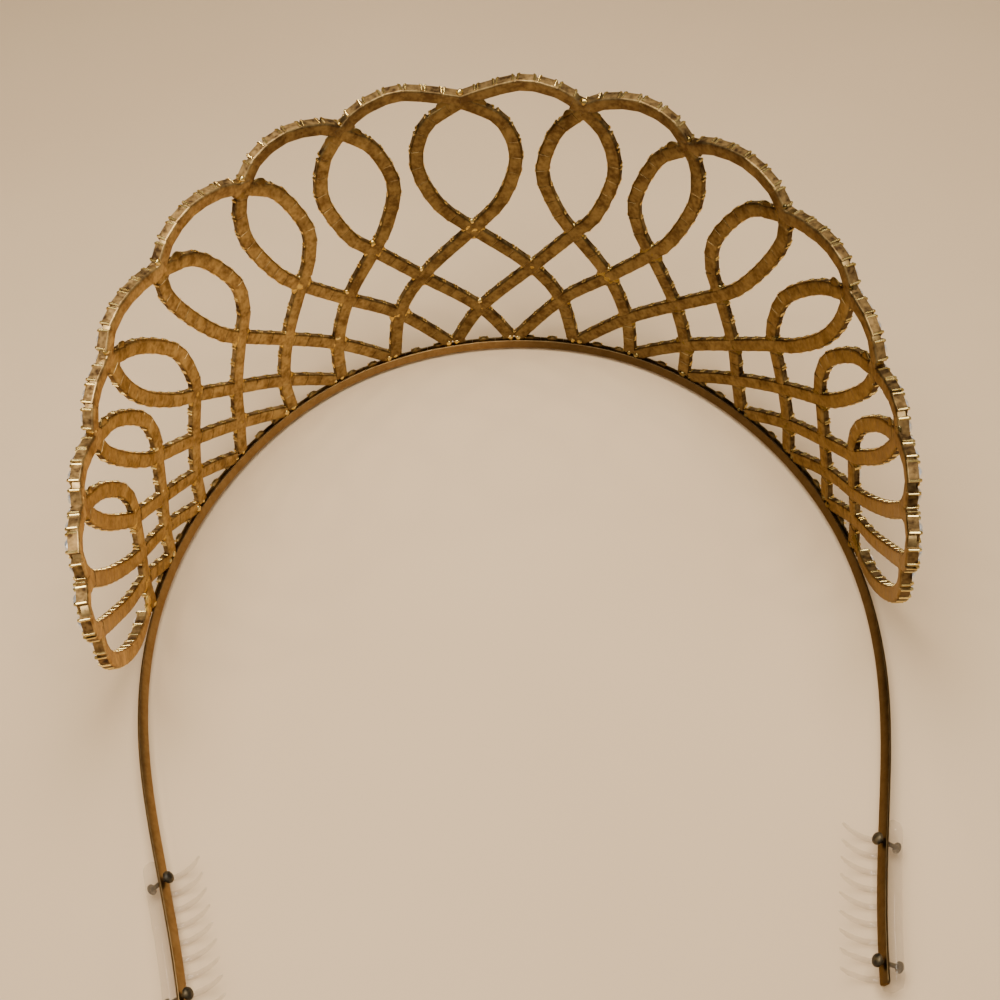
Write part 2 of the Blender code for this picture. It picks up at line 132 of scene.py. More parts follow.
# Solder: how far out from the chain's back each kind lies
SOLDER_OUT = {"webs": 0.48, "beads": 0.5, "feet": 0.25, "fillets": 0.4, "lobe": 0.45}
WEB_RADIUS = 2.4
FILLET_RADIUS = 1.65
FOOT_BEAD_DROP = 0.1
MEETING_DISTANCE = 1.0
LOWEST_CROSSING = FOOT_LEVEL + 1.0

# Painted shade: every gold's colour is scaled darker on the wearer's right and brighter on the left, standing
# in for light that falls on one side
PAINTED_SHADE_LIMITS = {
    # finish: x where the dark side ends, its tone, x where the light side starts, its tone
    "cups": (0.005, 0.28, 0.055, 0.57),
    "sides": (0.0, 0.42, 0.055, 0.75),
    "claws": (-0.04, 0.75, 0.03, 1.0),
    "border": (0.03, 0.30, 0.055, 0.76),
    "webs": (-0.055, 0.14, 0.012, 0.80),
    "wire": (-0.02, 0.185, 0.004, 0.49),
}
SHADING = {
    # kind: metallic, specular level, tint at the edges
    "plate": (1.0, 0.5, (0.92, 0.73, 0.52, 1.0)),
    # the side kind is a darker, duller copy of the plate: painted shade for the cups' side walls
    "side": (0.4, 0.1, (0.30, 0.17, 0.07, 1.0)),
}
GOLDS = (
    # name, dark, light, least and most roughness, ripple, row of painted shade limits, toned cup by cup,
    # shading if it isn't the plate's
    ("cups", (0.30, 0.178, 0.066), (0.72, 0.49, 0.185), (0.24, 0.44), 0.6, "cups", True),
    # sides: painted shade on the cups' side walls, darker and duller than the cups' gold
    ("sides", (0.07, 0.036, 0.015), (0.44, 0.27, 0.10), (0.42, 0.62), 0.7, "sides", True, "side"),
    ("border", (0.30, 0.178, 0.072), (0.72, 0.49, 0.195), (0.34, 0.52), 0.6, "border", True),
    # claws: a lighter gold than the cups', painted light so that the claws read as glints
    ("claws", (0.80, 0.55, 0.17), (1.0, 0.80, 0.34), (0.16, 0.32), 0.15, "claws", False),
    ("strip", (0.30, 0.178, 0.066), (0.72, 0.49, 0.185), (0.24, 0.44), 0.6, "cups", False),
    ("border strip", (0.30, 0.178, 0.072), (0.72, 0.49, 0.195), (0.3, 0.5), 0.6, "border", False),
    ("wire", (0.43, 0.262, 0.105), (0.55, 0.355, 0.15), (0.26, 0.38), 0.08, "wire", False),
    ("webs", (0.50, 0.32, 0.075), (0.78, 0.54, 0.15), (0.18, 0.36), 0.3, "webs", True),
    ("fillets", (0.36, 0.215, 0.07), (0.62, 0.41, 0.14), (0.24, 0.44), 0.4, "cups", True),
    # solder: the beads' own solder colour, painted lighter than the cups' gold so that it also serves as
    # painted highlights
    ("solder", (0.75, 0.50, 0.13), (1.0, 0.80, 0.34), (0.04, 0.16), 0.2, "webs", True),
)
TONE_RANGE = (0.9, 1.07)
PATCH_SCALE = 420.0
GRAIN_SCALE = 1300.0
RIPPLE_SCALE = 500.0
RIPPLE_DEPTH = 0.0001

# Row of round cups on the headband
BASE_PITCH = 5.2
BASE_COUNT = 41
BASE_RADIUS = 1.4
BASE_LEVEL = 0.4

# Sizes that the node trees take, in metres, with shares as plain numbers
LOOP_CUP = {"Length": 0.00368, "Width": CHAIN_WIDTH * MM, "Wall": 0.00095, "Claw": 0.00045,
            "Claw Height": 0.0006, "Rib": 0.00026}
TALLER = (BORDER_DEPTH - CHAIN_DEPTH) * MM
BORDER_CUP = {"Wall": LOOP_CUP["Wall"] + TALLER, "Length": 0.00374}
ROUND_CUP = {"Radius": BASE_RADIUS * MM, "Wall": 0.0006, "Claw": 0.00032, "Claw Height": 0.0007,
             "Tie Length": BASE_PITCH * MM, "Tie Width": 0.0009}
TIE_THICKNESS = 0.0004
TIE_PLACE = (0.0005, 0.0003)
LOOP_STONE = {"Radius": 0.00132, "Height": 0.0006, "Seat": 0.0013}
BORDER_STONE = {"Seat": LOOP_STONE["Seat"] + TALLER}
BASE_STONE = {"Radius": 0.0012, "Height": 0.00045, "Seat": 0.00078}
STONE_RINGS = (
    # corners, share of the radius, share of the height, turn in degrees
    (8, 0.56, 1.0, 0.0), (8, 0.82, 0.55, 22.5), (8, 1.0, 0.0, 0.0), (8, 1.0, -0.15, 0.0),
    (4, 0.55, -1.0, 0.0),
)
SOLDER_SIZES = {
    # piece: radius, smallest and largest, flatness, unevenness
    "solder_beads": (0.0007, 0.6, 1.25, 0.7, 0.0005),
    "solder_webs": (WEB_RADIUS * MM, 0.92, 1.12, 0.18, 0.0004),
    "solder_fillets": (FILLET_RADIUS * MM, 0.92, 1.08, 0.2, 0.0003),
    "lobe_solder": (0.0018, 0.95, 1.1, 0.25, 0.0004),
}

LOOPS = (
    # top (s, h), then each side's shoulder, side and waist
    ((0.0, 64.6),
     ((-7.3, 60.0), (-10.0, 51.5), (-6.8, 41.2)), ((7.3, 60.0), (10.0, 51.5), (6.8, 41.2))),
    ((24.2, 63.0),
     ((18.4, 57.4), (15.3, 47.8), (17.8, 38.6)), ((28.6, 58.0), (30.2, 49.5), (26.2, 38.4))),
    ((46.4, 60.8),
     ((39.6, 55.6), (34.8, 44.6), (35.9, 36.8)), ((48.5, 56.8), (48.4, 49.0), (43.6, 38.2))),
    ((71.0, 58.4),
     ((61.4, 53.9), (53.9, 43.0), (53.3, 34.8)), ((71.0, 52.6), (67.2, 44.4), (61.0, 34.8))),
    ((92.4, 55.6),
     ((82.4, 49.7), (73.3, 40.4), (70.6, 31.5)), ((90.0, 47.2), (85.2, 39.2), (77.6, 31.2))),
    ((105.2, 48.9),
     ((96.5, 44.7), (88.2, 36.4), (86.2, 29.4)), ((103.2, 43.4), (98.4, 36.6), (92.4, 29.6))),
    ((120.2, 48.2),
     ((110.2, 40.9), (102.8, 32.8), (100.5, 27.2)), ((117.4, 42.6), (112.4, 35.2), (106.0, 27.8))),
)
CROSSINGS = {
    # station: (s, h)
    0.0: (0.0, 33.4), 1.0: (21.4, 32.7), 2.0: (38.6, 31.8), 3.0: (55.7, 29.4),
    4.0: (71.4, 26.6), 5.0: (87.2, 25.1), 6.0: (100.9, 22.9),
}
HALF_CROSSINGS = {
    0.5: (11.9, 22.5), 1.5: (28.8, 22.4), 2.5: (44.6, 20.4), 3.5: (60.0, 18.4),
    4.5: (75.1, 17.4), 5.5: (89.8, 15.8), 6.5: (103.0, 14.6),
}
LOW_CROSSINGS = {
    0.0: (0.0, 11.0), 1.0: (18.0, 13.4), 2.0: (33.0, 11.5), 3.0: (47.5, 10.2),
    4.0: (61.8, 9.3), 5.0: (77.6, 9.1), 6.0: (92.0, 8.7), 7.0: (105.0, 8.8),
}
FEET = {
    # station: s
    0.5: 6.9, 1.5: 20.7, 2.5: 33.9, 3.5: 47.3, 4.5: 63.6, 5.5: 78.7, 6.5: 93.2, 7.5: 105.8,
}
FOOT_HEIGHT = 0.6
END_STRANDS = {
    # number: points from the border down
    7: ((129.8, 41.0), (120.4, 29.9), (111.0, 20.6)),
    8: ((136.0, 35.0), (126.4, 25.0), (115.0, 14.8)),
}
SCALLOPS = (
    ((5.3, 66.2), (12.5, 67.7), (19.6, 66.1)),
    ((28.4, 65.3), (35.7, 66.5), (42.4, 64.7)),
    ((52.2, 63.1), (59.8, 63.9), (67.0, 62.0)),
    ((76.4, 59.6), (83.6, 60.3), (89.6, 59.0)),
    ((96.2, 55.4), (100.6, 54.6), (103.7, 52.3)),
    ((110.6, 50.5), (115.4, 51.4), (119.0, 50.6)),
    ((125.2, 49.5), (130.2, 49.7), (131.8, 46.2)),
    ((135.4, 44.7), (139.6, 44.4), (139.8, 40.0)),
)
TIP_LOBE = (
    (137.0, 30.2), (134.2, 24.0), (129.2, 17.0), (123.2, 10.2), (117.6, 5.6), (113.0, 3.6), (109.6, 3.4),
)

# Side combs and pins
COMB_MIDDLES = (
    # name, side, station of its middle
    ("left", 1, 175.0),
    ("right", -1, 178.7),
)
COMB_LENGTH = 28.5
COMB_THICKNESS = 1.9
COMB_TOP = 2.2
COMB_BOTTOM = -2.4
COMB_CORNER = 0.45
COMB_STEP = 0.9
COMB_END_CUTS = (0.7, 0.2, 0.0)
TOOTH_COUNT = 9
TOOTH_EDGE = 2.2
TOOTH_PATH = (
    # out, v, thickness
    (1.35, -1.6, 1.2), (1.15, -3.0, 1.1), (0.0, -3.9, 1.05),
    (-1.9, -4.1, 0.95), (-4.0, -3.8, 0.8), (-6.0, -3.0, 0.5),
)
TOOTH_LIFT = 0.07
TOOTH_STEP = 0.5
TOOTH_TIP_ANGLES = (35, 60, 80)
PIN_SPACING = 20.8
PIN_RADIUS = 0.4
PIN_HEAD_RADIUS = 1.1
PIN_HEAD_DEPTH = 1.4
PIN_DISC_RADIUS = 0.95
PIN_DISC_THICKNESS = 0.45
PIN_DISC_PROFILE = (
    # share of the radius, share of the thickness
    (1.0, 0.0), (1.0, 0.6), (0.9, 0.85), (0.7, 1.0),
)
PIN_DOME = (-86, 64, 14)
PIN_NECK_SHARE = 0.98
PIN_SIDES = 28

# Camera, solved from the headband's curve: the band frame lies tilted on the table
LENS = 1345.846
PHOTO_SIZE = 1000.0
SENSOR = 36.0
CAMERA_ANGLES = (48.8676, -1.0365, -5.679)
CAMERA_SHIFT = (-4.466, 4.079)
CAMERA_DISTANCE = 265.184
CAMERA_TARGET = (0.0, 56.94, 9.49)
CAMERA_RISE = (COMB_CLEARANCE - FRONT_CLEARANCE) / COMB_CLEARANCE_Y

# Light
LIGHT_TARGET = (0.0, 0.0, 0.02)
LIGHTS = (
    # name, place, size, power, colour
    ("window", (0.01, 0.0, 0.36), 0.30, 2.1, (1.0, 0.95, 0.87)),
    ("fill", (0.40, 0.35, 0.5), 0.5, 1.0, (1.0, 0.92, 0.84)),
    ("lamp_right", (-0.22, 0.30, 0.46), 0.035, 0.22, (1.0, 0.86, 0.62)),
    ("lamp_left", (0.30, 0.22, 0.40), 0.035, 0.18, (1.0, 0.86, 0.62)),
    ("lamp_front", (0.05, -0.35, 0.45), 0.04, 0.22, (1.0, 0.86, 0.62)),
)
WORLD_STRENGTH = 0.57
WORLD_SLOPE = (-0.26, 0.42)
FLOOR_HALF = 3
WORLD_STOPS = (
    (0.08, (0.20, 0.16, 0.125, 1.0)), (0.42, (0.46, 0.40, 0.33, 1.0)), (0.9, (0.90, 0.82, 0.71, 1.0)),
)


class Socket:
    """One output of a node, which takes part in Python arithmetic."""

    def __init__(self, tree, output):
        self.tree = tree
        self.output = output

    def math(self, operation, *others):
        sockets = dict(enumerate((self, *others)))
        return self.tree.node("ShaderNodeMath", {"operation": operation}, sockets)

    def other(self, name):
        """Another output of the same node."""
        return Socket(self.tree, self.output.node.outputs[name])

    def __add__(self, value):
        return self.math('ADD', value)

    def __sub__(self, value):
        return self.math('SUBTRACT', value)

    def __mul__(self, value):
        return self.math('MULTIPLY', value)

    def __gt__(self, value):
        return self.math('GREATER_THAN', value)

    def __lt__(self, value):
        return self.math('LESS_THAN', value)

    __radd__ = __add__
    __rmul__ = __mul__

    def __rsub__(self, value):
        return (self * -1.0) + value


class Tree:
    """A node tree that is built with plain calls."""

    def __init__(self, tree):
        self.tree = tree

    def node(self, kind, settings=None, sockets=None, output=0):
        """Add a node: its settings first, then the values or links of its sockets."""
        made = self.tree.nodes.new(kind)
        for name, value in (settings or {}).items():
            if name == "stops":
                self.set_stops(made.color_ramp, value)
            else:
                setattr(made, name, value)
        for name, value in (sockets or {}).items():
            for one in (value if isinstance(value, list) else [value]):
                if isinstance(one, Socket):
                    self.tree.links.new(one.output, made.inputs[name])
                else:
                    made.inputs[name].default_value = one
        return Socket(self, made.outputs[output]) if len(made.outputs) else made

    @staticmethod
    def set_stops(ramp, stops):
        while len(ramp.elements) < len(stops):
            ramp.elements.new(1.0)
        for element, (place, colour) in zip(ramp.elements, stops):
            element.position = place
            element.color = colour


# Shapes on the bench
def interpolate(table, column, station):
    """Value of one column of a table of rows at a station, straight between rows."""
    low = table[0]
    for high in table[1:]:
        if station <= high[0]:
            share = (station - low[0]) / (high[0] - low[0])
            return low[column] + share * (high[column] - low[column])
        low = high
    return low[column]


def band_points():
    """Middle line of the headband from above: x, y and heading, one entry per CURVE_STEP."""
    x, y, heading = 0.0, 0.0, 0.0
    points = [(x, y, heading)]
    for index in range(int(round(BAND_TABLE[-1][0] / CURVE_STEP))):
        turn = interpolate(BAND_TABLE, 1, (index + 0.5) * CURVE_STEP) * CURVE_STEP
        middle = math.radians(heading + turn / 2)
        x += CURVE_STEP * math.cos(middle)
        y += CURVE_STEP * math.sin(middle)
        heading += turn
        points.append((x, y, heading))
    return points


BAND_POINTS = band_points()


def band_frame(s):
    """Point of the headband's middle line and its outward direction, in the plan."""
    side = -1.0 if s < 0 else 1.0
    place = min(abs(s) / CURVE_STEP, len(BAND_POINTS) - 1.001)
    index = int(place)
    share = place - index
    low, high = BAND_POINTS[index], BAND_POINTS[index + 1]
    x, y, heading = (a + share * (b - a) for a, b in zip(low, high))
    heading = math.radians(heading)
    return Vector((side * x, y, 0)), Vector((side * math.sin(heading), -math.cos(heading), 0))


def leaning_point(s, h, out, lean, offset):
    """Point, in metres, for a strip or wall that leans outward by an angle."""
    origin, outward = band_frame(s)
    angle = math.radians(lean)
    point = origin + outward * (offset + h * math.sin(angle) + out * math.cos(angle))
    lift = FRONT_CLEARANCE + (COMB_CLEARANCE - FRONT_CLEARANCE) * origin.y / COMB_CLEARANCE_Y
    point.z = h * math.cos(angle) - out * math.sin(angle) + lift
    return point * MM + Vector((0, BAND_FRONT_Y, 0))


def strip_point(s, v, out):
    """Point beside the headband, in the strip's own leaning frame."""
    return leaning_point(s, v, out, interpolate(BAND_TABLE, 2, abs(s)), 0.0)


def wall_point(s, h, out):
    """Point in the wall of loops."""
    share = min(abs(s) / WALL_LEAN_STATION, 1.0) ** 2
    lean = WALL_LEAN_FRONT + (WALL_LEAN_SIDE - WALL_LEAN_FRONT) * share
    return leaning_point(s, h, out, lean, WALL_OFFSET)


def outward_at(surface, s, h):
    """Direction square to the strip or the wall at a place on it."""
    return (surface(s, h, 1.0) - surface(s, h, 0.0)).normalized()


BAND_FRONT_Y = 0.0
BAND_FRONT_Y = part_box("headband")[0].y - strip_point(0.0, 0.0, BAND_THICKNESS / 2).y


def smooth_path(points, step):
    """Points about a step apart along a smooth curve through the given points."""
    guides = [Vector(p) for p in points]
    guides = [2 * guides[0] - guides[1]] + guides + [2 * guides[-1] - guides[-2]]
    path = []
    for a, b, c, d in zip(guides, guides[1:], guides[2:], guides[3:]):
        count = max(1, round((c - b).length / step))
        for index in range(count):
            t = index / count
            path.append(0.5 * (2 * b + (c - a) * t + (2 * a - 5 * b + 4 * c - d) * t * t
                               + (3 * b - a - 3 * c + d) * t * t * t))
    path.append(guides[-2])
    return path


def mirrored(path):
    """The same path on the other side of the tiara."""
    return [Vector((-p.x, p.y)) for p in path]


def run_down(loop, direction):
    """Crossings and foot below a loop, towards one side; stations past the centre are mirrored."""
    points = []
    for table, distance in ((HALF_CROSSINGS, 0.5), (LOW_CROSSINGS, 1.0)):
        station = loop + direction * distance
        if abs(station) in table:
            s, h = table[abs(station)]
            points.append((math.copysign(s, station) if s else 0.0, h))
    station = loop + direction * 1.5
    points.append((math.copysign(FEET[abs(station)], station), FOOT_HEIGHT))
    return points


def strand(loop, outward):
    """Path of one strand of a loop: round one side, through the crossings, to its foot."""
    top, inner, outer = LOOPS[loop]
    side = inner if outward else outer
    return [top, *side, CROSSINGS[float(loop)]] + run_down(loop, 1.0 if outward else -1.0)


def lattice_paths():
    """Paths of the strands that run towards +s at the foot; the others mirror them."""
    paths = []
    for loop in range(len(LOOPS)):
        paths.append(smooth_path(strand(loop, True), PATH_STEP))
        if loop > 0:
            paths.append(mirrored(smooth_path(strand(loop, False), PATH_STEP)))
    for number, points in END_STRANDS.items():
        paths.append(mirrored(smooth_path([*points, *run_down(number, -1.0)], PATH_STEP)))
    return paths


def border_path():
    """Border from one end lobe to the other."""
    junctions = [row[0] for row in LOOPS] + [points[0] for points in END_STRANDS.values()]
    half = []
    for index, bulge in enumerate(SCALLOPS):
        half += smooth_path([junctions[index], *bulge, junctions[index + 1]], PATH_STEP)[:-1]
    half += smooth_path([junctions[-1], *TIP_LOBE], PATH_STEP)
    return mirrored(reversed(half[1:])) + half


def free_stretches(path, blockers):
    """Stretches of a path that stay clear of the given points and above the base row."""
    near = np.array(blockers)
    stretches, current = [], []
    for point in path:
        blocked = point.y < FOOT_LEVEL
        if not blocked:
            gap = np.sqrt(((near[:, :2] - np.array(point)) ** 2).sum(1)) - near[:, 2]
            blocked = gap.min() < STRAND_CLEARANCE
        if blocked:
            if current:
                stretches.append(current)
            current = []
        else:
            current.append(point)
    if current:
        stretches.append(current)
    return stretches


def border_tilt(s):
    """Angle by which the border's top is turned in over the head; it fades towards the sides."""
    share = min(abs(s) / BORDER_TILT_END, 1.0)
    return math.radians(BORDER_TILT) * (1.0 - share * share * (3.0 - 2.0 * share))


def chain_places(path, tilt=None):
    """Cup places along one free stretch: centre, direction along, direction outward, stretch."""
    pitch = CHAIN_PITCH * MM
    reach = max(1, round(CHAIN_PITCH / PATH_STEP / 2))
    line = [wall_point(p.x, p.y, CHAIN_BACK) for p in path]
    marks = [0.0]
    for low, high in zip(line, line[1:]):
        marks.append(marks[-1] + (high - low).length)
    length = marks[-1]
    if length < SHORTEST_RUN * MM:
        return []
    count = max(1, round(length / pitch))
    places = []
    index = 0
    for number in range(count):
        mark = (number + 0.5) * length / count
        while marks[index + 1] < mark:
            index += 1
        share = (mark - marks[index]) / (marks[index + 1] - marks[index])
        centre = line[index].lerp(line[index + 1], share)
        along = line[min(index + reach, len(line) - 1)] - line[max(index - reach, 0)]
        here = path[index].lerp(path[index + 1], share)
        outward = outward_at(wall_point, here.x, here.y)
        along.normalize()
        if tilt:
            across = along.cross(outward)
            across *= 1.0 if across.z > 0 else -1.0
            angle = tilt(here.x)
            outward = outward * math.cos(angle) + across * math.sin(angle)
        places.append((centre, along, outward, length / count / pitch))
    return places


def ribbon(path, back, height, tilt=None):
    """Continuous backing strip of a chain, rounded across."""
    half = CHAIN_WIDTH / 2
    outline = [(RIBBON_HALF_OUTLINE[0][0] * half, height)]
    outline += [(share * half, deep) for share, deep in RIBBON_HALF_OUTLINE]
    outline += [(-side, deep) for side, deep in reversed(outline)]
    stride = max(1, round(RIBBON_STEP / PATH_STEP))
    line = path[:-1:stride] + [path[-1]]
    sections = []
    for index, point in enumerate(line):
        along = (line[min(index + 1, len(line) - 1)] - line[max(index - 1, 0)]).normalized()
        across = Vector((-along.y, along.x))
        angle = tilt(point.x) if tilt else 0.0
        sections.append([
            wall_point(*(point + across * (side * math.cos(angle) + deep * math.sin(angle))),
                       back + deep * math.cos(angle) - side * math.sin(angle))
            for side, deep in outline])
    return bridge_sections(sections)


def above_feet(path):
    """The part of a strand that stands over the row of round cups."""
    return [point for point in path if point.y >= FOOT_LEVEL - PATH_STEP]


def crossing_places(path, others):
    """Where a strand meets another: middle of each blocked stretch, on the back of the wall."""
    near = np.array([tuple(p) for p in others])
    places, best = [], None
    for point in path:
        gap = np.sqrt(((near - np.array(point)) ** 2).sum(1)).min()
        if gap < MEETING_DISTANCE:
            if best is None or gap < best[0]:
                best = (gap, point)
        elif best:
            places.append(best[1])
            best = None
    if best:
        places.append(best[1])
    return places


# Pieces
def link_object(name, data):
    made = bpy.data.objects.new(name, data)
    bpy.context.scene.collection.objects.link(made)
    return made


POINT_DATA = {"along": 'FLOAT_VECTOR', "outward": 'FLOAT_VECTOR', "stretch": 'FLOAT'}


def point_cloud(name, places):
    """Loose points that carry the directions of what grows on them."""
    mesh = bpy.data.meshes.new(name)
    mesh.from_pydata([place[0] for place in places], [], [])
    for column, (label, kind) in enumerate(POINT_DATA.items(), 1):
        data = mesh.attributes.new(label, kind, 'POINT').data
        for item, place in zip(data, places):
            setattr(item, "value" if kind == 'FLOAT' else "vector", place[column])
    return link_object(name, mesh)


def new_tree(name, sizes):
    """Geometry Nodes tree; returns it, its geometry input and a socket for each named size."""
    group = bpy.data.node_groups.new(name, 'GeometryNodeTree')
    group.interface.new_socket("Geometry", in_out='INPUT', socket_type='NodeSocketGeometry')
    for label, value in sizes.items():
        socket = group.interface.new_socket(label, in_out='INPUT', socket_type='NodeSocketFloat')
        socket.default_value = value
    group.interface.new_socket("Geometry", in_out='OUTPUT', socket_type='NodeSocketGeometry')
    tree = Tree(group)
    entry = tree.node("NodeGroupInput")
    return tree, entry, {name: entry.other(name) for name in sizes}


def plated(tree, geometry, finish):
    return tree.node("GeometryNodeSetMaterial", {}, {"Geometry": geometry, "Material": finish})


def close_tree(tree, geometry, kind):
    """End a tree: realize the instances and shade them smooth but for their sharp edges."""
    real = tree.node("GeometryNodeRealizeInstances", {}, {"Geometry": geometry})
    smooth = tree.node("GeometryNodeSetShadeSmooth", {"domain": 'FACE'}, {
        "Geometry": real, "Shade Smooth": True})
    angle = tree.node("GeometryNodeInputMeshEdgeAngle")
    done = tree.node("GeometryNodeSetShadeSmooth", {"domain": 'EDGE'}, {
        "Geometry": smooth, "Selection": angle > math.radians(SHARP_PAST[kind]), "Shade Smooth": False})
    tree.node("NodeGroupOutput", {}, {"Geometry": done})
    return tree.tree


def grown(name, source, group, sizes):
    """Plain mesh of what a tree grows on a source object."""
    modifier = source.modifiers.new("grow", 'NODES')
    modifier.node_group = group
    for item in group.interface.items_tree:
        if item.in_out == 'INPUT' and item.name in sizes:
            modifier[item.identifier] = sizes[item.name]
    graph = bpy.context.evaluated_depsgraph_get()
    mesh = bpy.data.meshes.new_from_object(source.evaluated_get(graph), depsgraph=graph)
    source.modifiers.remove(modifier)
    mesh.name = name
    for label in POINT_DATA:
        if label in mesh.attributes:
            mesh.attributes.remove(mesh.attributes[label])
    return link_object(name, mesh)


def placed_on_points(tree, entry, instance):
    """Instance a shape on every point, turned to its directions and stretched along the chain."""
    along, outward, stretch = (
        tree.node("GeometryNodeInputNamedAttribute", {"data_type": kind}, {"Name": label})
        for label, kind in POINT_DATA.items())
    turn = tree.node("FunctionNodeAxesToRotation", {"primary_axis": 'Z', "secondary_axis": 'X'},
                     {"Primary Axis": outward, "Secondary Axis": along})
    made = tree.node("GeometryNodeInstanceOnPoints", {}, {
        "Points": entry, "Instance": instance,
        "Rotation": turn, "Scale": vector(tree, stretch, 1.0, 1.0)})
    tone = random_number(tree, *TONE_RANGE, 11)
    return tree.node("GeometryNodeStoreNamedAttribute", {"data_type": 'FLOAT', "domain": 'INSTANCE'}, {
        "Geometry": made, "Name": "tone", "Value": tone})


def random_number(tree, low, high, seed):
    return tree.node("FunctionNodeRandomValue", {"data_type": 'FLOAT'}, {2: low, 3: high, "Seed": seed}, 1)


def scaled(tree, value, factor):
    return tree.node("ShaderNodeVectorMath", {"operation": 'SCALE'}, {0: value, "Scale": factor})


def vector(tree, x, y, z):
    return tree.node("ShaderNodeCombineXYZ", {}, {"X": x, "Y": y, "Z": z})


def moved(tree, geometry, x=0.0, y=0.0, z=0.0):
    return tree.node("GeometryNodeTransform", {}, {
        "Geometry": geometry, "Translation": vector(tree, x, y, z)})


def facing(tree):
    """How far each face looks up: 1 straight up, -1 straight down."""
    return tree.node("ShaderNodeSeparateXYZ", {}, {"Vector": tree.node("GeometryNodeInputNormal")}, "Z")


def narrowed(tree, geometry, faces, along, across):
    """Draw the chosen faces in towards the middle line of a cup."""
    place = tree.node("GeometryNodeInputPosition")
    drawn = tree.node("ShaderNodeVectorMath", {"operation": 'MULTIPLY'}, {
        0: place, 1: (along, across, 1.0)})
    return tree.node("GeometryNodeSetPosition", {}, {
        "Geometry": geometry, "Selection": faces, "Position": drawn})


def pushed(tree, body, faces, distance):
    return tree.node("GeometryNodeExtrudeMesh", {"mode": 'FACES'}, {
        "Mesh": body, "Selection": faces, "Offset Scale": distance, "Individual": True})


def shell(tree, body, steps, wall):
    """Round the back of a closed block in steps and sink a seat for the stone into its front."""
    faces = facing(tree) < -FLAT_SLOPE
    for distance, along, across in steps:
        step = pushed(tree, body, faces, distance * MM)
        faces = step.other("Top")
        body = narrowed(tree, step, faces, along, across)
    edge = pushed(tree, body, facing(tree) > FLAT_SLOPE, 0.0)
    rimmed = narrowed(tree, edge, edge.other("Top"), RIM_SHARE, RIM_SHARE)
    return pushed(tree, rimmed, edge.other("Top"), wall * -RECESS_SHARE)


def claws(tree, points, size, tilt, rounding):
    """A claw on each point of a small mesh, leaning in over the stone."""
    radius, height = size["Claw"], size["Claw Height"]
    claw = tree.node("GeometryNodeMeshCone", {"fill_type": 'NGON'}, {
        "Vertices": CLAW_SIDES, "Radius Top": radius * CLAW_TIP_SHARE, "Radius Bottom": radius,
        "Depth": height}, "Mesh")
    place = tree.node("GeometryNodeInputPosition")
    up = tree.node("ShaderNodeVectorMath", {"operation": 'ADD'}, {
        0: scaled(tree, place, -tilt), 1: (0.0, 0.0, 1.0)})
    turn = tree.node("FunctionNodeAlignRotationToVector", {"axis": 'Z'}, {"Vector": up})
    made = tree.node("GeometryNodeInstanceOnPoints", {}, {
        "Points": points, "Instance": claw, "Rotation": turn})
    return moved(tree, made, z=size["Wall"] - height * CLAW_SUNK_SHARE + rounding)


def corners(tree, size, inset, shares):
    """The four corners of a square cup, drawn in by shares of a size."""
    return tree.node("GeometryNodeMeshGrid", {}, {
        "Size X": size["Length"] - size[inset] * shares[0], "Size Y": size["Width"] - size[inset] * shares[1],
        "Vertices X": 2, "Vertices Y": 2}, "Mesh")


def ribs(tree, size, rounding):
    """The four claws' stems, which run up a square cup's corners."""
    stem = tree.node("GeometryNodeMeshCone", {"fill_type": 'NGON'}, {
        "Vertices": RIB_SIDES, "Radius Top": size["Rib"], "Radius Bottom": size["Rib"],
        "Depth": size["Wall"]}, "Mesh")
    made = tree.node("GeometryNodeInstanceOnPoints", {}, {
        "Points": corners(tree, size, "Rib", RIB_INSET), "Instance": stem})
    return moved(tree, made, z=rounding)


def square_cup_tree(finish, painted_shade_finish, claw_finish):
    """One link of cup chain: a square cup with a rounded back, side walls in painted shade, and four claws.
    """
    tree, entry, size = new_tree("square cups", LOOP_CUP)
    rounding = sum(step[0] for step in SQUARE_BACK) * MM
    block = tree.node("GeometryNodeMeshCube", {}, {
        "Size": vector(tree, size["Length"], size["Width"], size["Wall"])}, "Mesh")
    block = moved(tree, block, z=size["Wall"] * 0.5 + rounding)
    cup = shell(tree, block, SQUARE_BACK, size["Wall"])
    claw = claws(tree, corners(tree, size, "Claw", CLAW_INSET), size, CLAW_LEANS["square"], rounding)
    # Painted shade: faces that look sideways get the darker side gold
    painted_shade_cup = tree.node("GeometryNodeSetMaterial", {}, {
        "Geometry": plated(tree, cup, finish), "Selection": facing(tree).math('ABSOLUTE') < SHADED_SIDE_SLOPE,
        "Material": painted_shade_finish})
    whole = tree.node("GeometryNodeJoinGeometry", {}, {"Geometry": [
        painted_shade_cup, plated(tree, claw, claw_finish), plated(tree, ribs(tree, size, rounding), claw_finish)]})
    return close_tree(tree, placed_on_points(tree, entry, whole), "cups")


